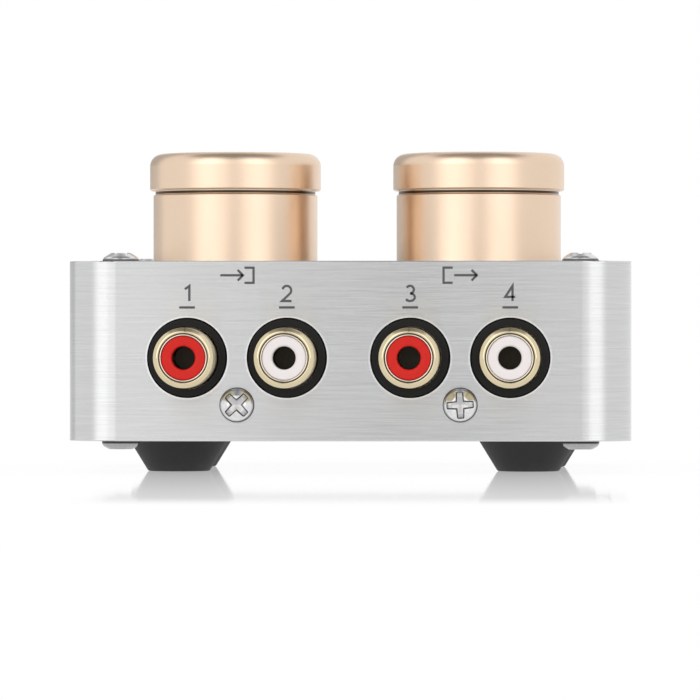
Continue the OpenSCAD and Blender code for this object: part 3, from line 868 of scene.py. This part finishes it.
# Skeletons of the marks in a cell of height 1: the cell's width and its strokes
MARKS = {
    "1": (0.3, [np.array([(0, 0.78), (0.3, 1), (0.3, 0)])]),
    "2": (0.62, [np.concatenate([arc(0.31, 0.7, 0.29, 0.3, 165, -38), [(0, 0), (0.62, 0)]])]),
    "3": (0.6, [
        arc(0.29, 0.75, 0.25, 0.25, 150, -90),
        arc(0.29, 0.25, 0.31, 0.25, 90, -150),
    ]),
    "4": (0.66, [np.array([(0.66, 0.27), (0, 0.27), (0.48, 1), (0.48, 0)])]),
    "in": (2.2, [
        np.array([(0, 0.5), (1.5, 0.5)]),
        np.array([(1.15, 0.85), (1.5, 0.5), (1.15, 0.15)]),
        np.array([(1.6, 1), (2.2, 1), (2.2, 0), (1.6, 0)]),
    ]),
    "out": (2.2, [
        np.array([(0.6, 1), (0, 1), (0, 0), (0.6, 0)]),
        np.array([(0.7, 0.5), (2.2, 0.5)]),
        np.array([(1.85, 0.85), (2.2, 0.5), (1.85, 0.15)]),
    ]),
}


def ribbon(path):
    """Flat stroke of ink along a path on the wall.

    At each point of the path a rectangle stands square to it, widened at bends so that its sides stay
    parallel. The first and the last rectangle close to their own middle."""
    steps = np.diff(path, axis=0)
    steps /= np.linalg.norm(steps, axis=1)[:, None]
    before = np.concatenate([steps[:1], steps])
    after = np.concatenate([steps, steps[-1:]])
    mean = before + after
    mean /= np.linalg.norm(mean, axis=1)[:, None]
    side = np.stack([-mean[:, 1], mean[:, 0]], axis=1) / np.sum(mean * after, axis=1)[:, None]
    corners = np.array([(-0.5, -1), (0.5, -1), (0.5, 1), (-0.5, 1)])
    flat = path[:, None] + side[:, None] * corners[:, 0, None] * LEGEND_STROKE
    out = np.broadcast_to(SOCKET_FACE + corners[:, 1] * LEGEND_PROUD, flat.shape[:2])
    stroke = np.stack([flat[..., 0], -out, flat[..., 1]], axis=-1)
    middles = stroke.mean(axis=1, keepdims=True).repeat(len(corners), axis=1)
    return skin(np.concatenate([middles[:1], stroke, middles[-1:]]))


def printed(mark, x, base):
    """Strokes of a mark whose middle lies at x and whose foot lies at base."""
    size = LEGEND_HEIGHT - LEGEND_STROKE
    width, strokes = MARKS[mark]
    start = np.array([x - width * size / 2, base + LEGEND_STROKE / 2])
    return [ribbon(start + stroke * size) for stroke in strokes]


def bar_under(x):
    """The level bar under a number whose middle lies at x."""
    z = BAR_BASE + LEGEND_STROKE / 2
    return ribbon(np.array([(x - BAR_WIDTH / 2, z), (x + BAR_WIDTH / 2, z)]))


def make_legends(finish):
    """Printed marks: an arrow into or out of a box over each pair, and a barred number over each socket."""
    number = 0
    for pair, arrow in zip(PAIRS, ("in", "out")):
        xs = [MOUNTS[f"{pair}_{channel}_barrel"]["pos_m"][0] for channel in CHANNELS]
        strokes = []
        for x in xs:
            number += 1
            strokes += printed(str(number), x, NUMBER_BASE)
            strokes.append(bar_under(x))
        strokes += printed(arrow, sum(xs) / 2, ARROW_BASE)
        make_piece("legend_" + pair, strokes, finish, "case", "black_plastic")


# Floor, light and camera

# Outputs of the Light Path node
CAMERA_RAY, GLOSSY_RAY, TRANSMISSION_RAY = 0, 3, 6
FLOOR_SIZE = 12.0
FLOOR_GREY = 0.85
# The object's shadow: how far it lies full, how far it reaches, and the share of it that shows
SHADE_FULL, SHADE_REACH = 0.04, 0.12
SHADE_DEPTH = 0.12
# The floor's polish: its share in the middle, the loss of it per metre, and where it fades out
MIRROR_SHARE = 0.73
MIRROR_LOSS = 2.3
MIRROR_FADE, MIRROR_END = 0.148, 0.185
POLISH_IOR = 1.45
POLISH_ROUGHNESS = 0.04


def make_floor():
    """Pale floor that goes to white, keeps a soft shadow near the object and mirrors its feet there."""
    half = FLOOR_SIZE / 2
    corners = [(-half, -half, 0), (half, -half, 0), (half, half, 0), (-half, half, 0)]
    mesh = bpy.data.meshes.new("floor")
    mesh.from_pydata(corners, [], [(0, 1, 2, 3)])
    f = new_finish("floor_white")
    reach = f.vector("LENGTH", f.place(), (0, 0, 0), out=1)
    seen = f.rays(CAMERA_RAY, GLOSSY_RAY, TRANSMISSION_RAY)
    lit = 1 - SHADE_DEPTH * (1 - f.ease(reach, SHADE_FULL, SHADE_REACH))
    white = f.node("Emission", None, {"Color": rgb(1, 1, 1), "Strength": 1.0})
    grey = f.node("BsdfDiffuse", None, {"Color": rgb(FLOOR_GREY, FLOOR_GREY, FLOOR_GREY)})
    paper = f.node("MixShader", None, {0: seen * lit, 1: grey, 2: white})
    mirror = f.node("BsdfGlossy", None, {"Color": rgb(1, 1, 1), "Roughness": POLISH_ROUGHNESS})
    shine = (MIRROR_SHARE - MIRROR_LOSS * reach) * f.ease(reach, MIRROR_END, MIRROR_FADE)
    shine = shine * f.node("Fresnel", None, {"IOR": POLISH_IOR})
    polished = f.node("MixShader", None, {0: shine, 1: paper, 2: mirror})
    f.node("OutputMaterial", None, {"Surface": polished})
    mesh.materials.append(f.owner)
    floor = bpy.data.objects.new("floor", mesh)
    bpy.context.scene.collection.objects.link(floor)


# Bearings in the room, in degrees from the way the sockets face, positive towards the picture's right.
# Each softbox has a middle and a gain, and its light fades from its inner to its outer half width.
SOFTBOXES = {"left": (-36, 1.05), "right": (33, 0.95)}
SOFTBOX_INNER, SOFTBOX_OUTER = 6, 31
# The dim strip where the camera stands, and the brighter stretch on its left
STRIP_BEARING = -1.6
STRIP_INNER, STRIP_OUTER = 0.6, 1.7
STRIP_DIM = 0.95
STRETCH_BEARING = -8.5
STRETCH_INNER, STRETCH_OUTER = 5, 13
STRETCH_GAIN = 0.38
# Sines of the heights between which softboxes and stretch end at their tops
SOFTBOX_TOP = (0.95, 0.75)
STRETCH_TOP = (0.7, 0.4)
# The dim wall behind on the left: where it starts and is full, by the parts of the direction that point
# back and to the right
BACK_DEPTH = (0.45, 0.65)
BACK_SIDE = (-0.1, -0.3)
BACK_DIM = 0.5
# The dark card overhead: how high its middle stands, and the half angles between which it fades
CARD_HEIGHT = 86
CARD_INNER, CARD_OUTER = 29, 40
CARD_DIM = 0.72


def make_world():
    """White room with two softboxes, a dim strip, a brighter stretch, a dim wall and a dark card overhead.

    The strength is 1 plus the gains and less the dims, each of which eases in over its own range."""
    world = bpy.data.worlds.new("studio")
    bpy.context.scene.world = world
    f = Finish(world)
    way = f.node("TexCoord", out=0)
    side, depth, height = (f.axis(way, number) for number in range(3))
    bearing = f.node("Math", {"operation": "ARCTAN2"}, {0: side, 1: 0 - depth})

    def near(middle, inner, outer):
        return f.ease(abs(bearing - radians(middle)), radians(outer), radians(inner))

    stretch = near(STRETCH_BEARING, STRETCH_INNER, STRETCH_OUTER) * f.ease(height, *STRETCH_TOP)
    room = 1 + STRETCH_GAIN * stretch
    room -= STRIP_DIM * near(STRIP_BEARING, STRIP_INNER, STRIP_OUTER)
    for middle, gain in SOFTBOXES.values():
        room += gain * near(middle, SOFTBOX_INNER, SOFTBOX_OUTER) * f.ease(height, *SOFTBOX_TOP)
    room -= BACK_DIM * f.ease(depth, *BACK_DEPTH) * f.ease(side, *BACK_SIDE)
    card_way = (0, -cos(radians(CARD_HEIGHT)), sin(radians(CARD_HEIGHT)))
    towards_card = f.vector("DOT_PRODUCT", way, card_way, out=1)
    room -= CARD_DIM * f.ease(towards_card, cos(radians(CARD_OUTER)), cos(radians(CARD_INNER)))
    strength = f.node("Math", {"operation": "MAXIMUM"}, {0: room, 1: 0})
    shader = f.node("Background", None, {"Color": rgb(1, 1, 1), "Strength": strength})
    f.node("OutputWorld", None, {"Surface": shader})


# The lamp overhead: its side, its height and the brightness of its face, where 1 is white
OVERHEAD_SIZE = 0.9
OVERHEAD_HEIGHT = 0.8
OVERHEAD_GLOW = 1.0


def make_lamp():
    """Soft lamp overhead, which metal doesn't mirror. Its power is its glow times pi and its area."""
    lamp = bpy.data.lights.new("overhead", "AREA")
    lamp.size = OVERHEAD_SIZE
    lamp.energy = OVERHEAD_GLOW * pi * OVERHEAD_SIZE ** 2
    holder = bpy.data.objects.new("overhead", lamp)
    holder.location = (0, 0, OVERHEAD_HEIGHT)
    holder.visible_camera = False
    holder.visible_glossy = False
    bpy.context.scene.collection.objects.link(holder)


def make_camera():
    """Camera before the socket wall, a little to its right, with the photograph's scale on the wall."""
    lens = bpy.data.cameras.new("camera")
    lens.sensor_width = SENSOR_MM
    lens.lens = SENSOR_MM * CAMERA_DISTANCE / (IMAGE_PIXELS * WALL_MM_PER_PIXEL * MM)
    lens.clip_start = CAMERA_NEAREST
    camera = bpy.data.objects.new("camera", lens)
    camera.location = (CAMERA_SIDE, CASE_LOW.y - CAMERA_DISTANCE, CAMERA_HEIGHT)
    aim = Vector((AIM_SIDE, CASE_LOW.y, AIM_HEIGHT))
    camera.rotation_euler = (aim - camera.location).to_track_quat("-Z", "Y").to_euler()
    bpy.context.scene.collection.objects.link(camera)
    bpy.context.scene.camera = camera


# Finishes of the pieces that keep their shape

# Pieces of a rotary control in dull metal
CONTROL_METAL = ("bushing", "cover", "terminals", "washer", "nut", "shaft")


def dress(finish, *nodes):
    """Gives nodes a finish in place of the plain one that they come with."""
    for node in nodes:
        for slot in frame["nodes"][node].material_slots:
            slot.material = finish


def dress_case():
    """Finishes of the ring, its two plates and the board."""
    dress(brushed_case(), "case_ring")
    dress(brushed_plate(), "top_plate", "bottom_plate")
    dress(green_board(), "circuit_board")


def dress_sockets(moulding, contact, plating):
    """Finishes of the sockets' bodies, solder pins and spring contacts."""
    for pair in PAIRS:
        dress(moulding, "jack_housing_" + pair)
        dress(plating, "jack_pins_" + pair)
        for channel in CHANNELS:
            dress(contact, f"jack_contact_{pair}_{channel}")


def dress_controls(moulding, gold, plating):
    """Finishes of the knobs and of the rotary controls under them."""
    metal = dull_metal()
    wafer = brown_wafer()
    for side in SIDES:
        dress(satin_gold(side), "knob_" + side)
        dress(metal, *(f"pot_{piece}_{side}" for piece in CONTROL_METAL))
        dress(moulding, "spacer_" + side, "pot_rotor_" + side)
        dress(wafer, "pot_wafer_" + side)
        dress(gold, "pot_wiper_" + side)
        dress(plating, "set_screw_" + side)


def main():
    """Sets up the room, dresses the pieces that keep their shape and makes the others."""
    bpy.context.scene.view_settings.view_transform = "Standard"
    make_camera()
    make_world()
    make_lamp()
    make_floor()
    gold = gold_plate()
    moulding = black_moulding()
    rubber = foot_rubber()
    bright = nickel("bright_nickel", BRIGHT_LEVEL)
    # The bottom screws get a darker copy of the same nickel: painted shade
    shaded = nickel("worn_nickel", SHADED_LEVEL)
    dress_case()
    dress_sockets(moulding, dark_contact(), bright)
    dress_controls(moulding, gold, bright)
    make_case_screws("top_screws", TOP_SCREW, 1, bright)
    make_case_screws("bottom_screws", BOTTOM_SCREW, -1, shaded)
    make_jack_screws(bright)
    make_sockets(gold)
    for end, side in product(ENDS, SIDES):
        make_foot(f"foot_{end}_{side}", rubber)
    make_legends(legend_ink())


main()
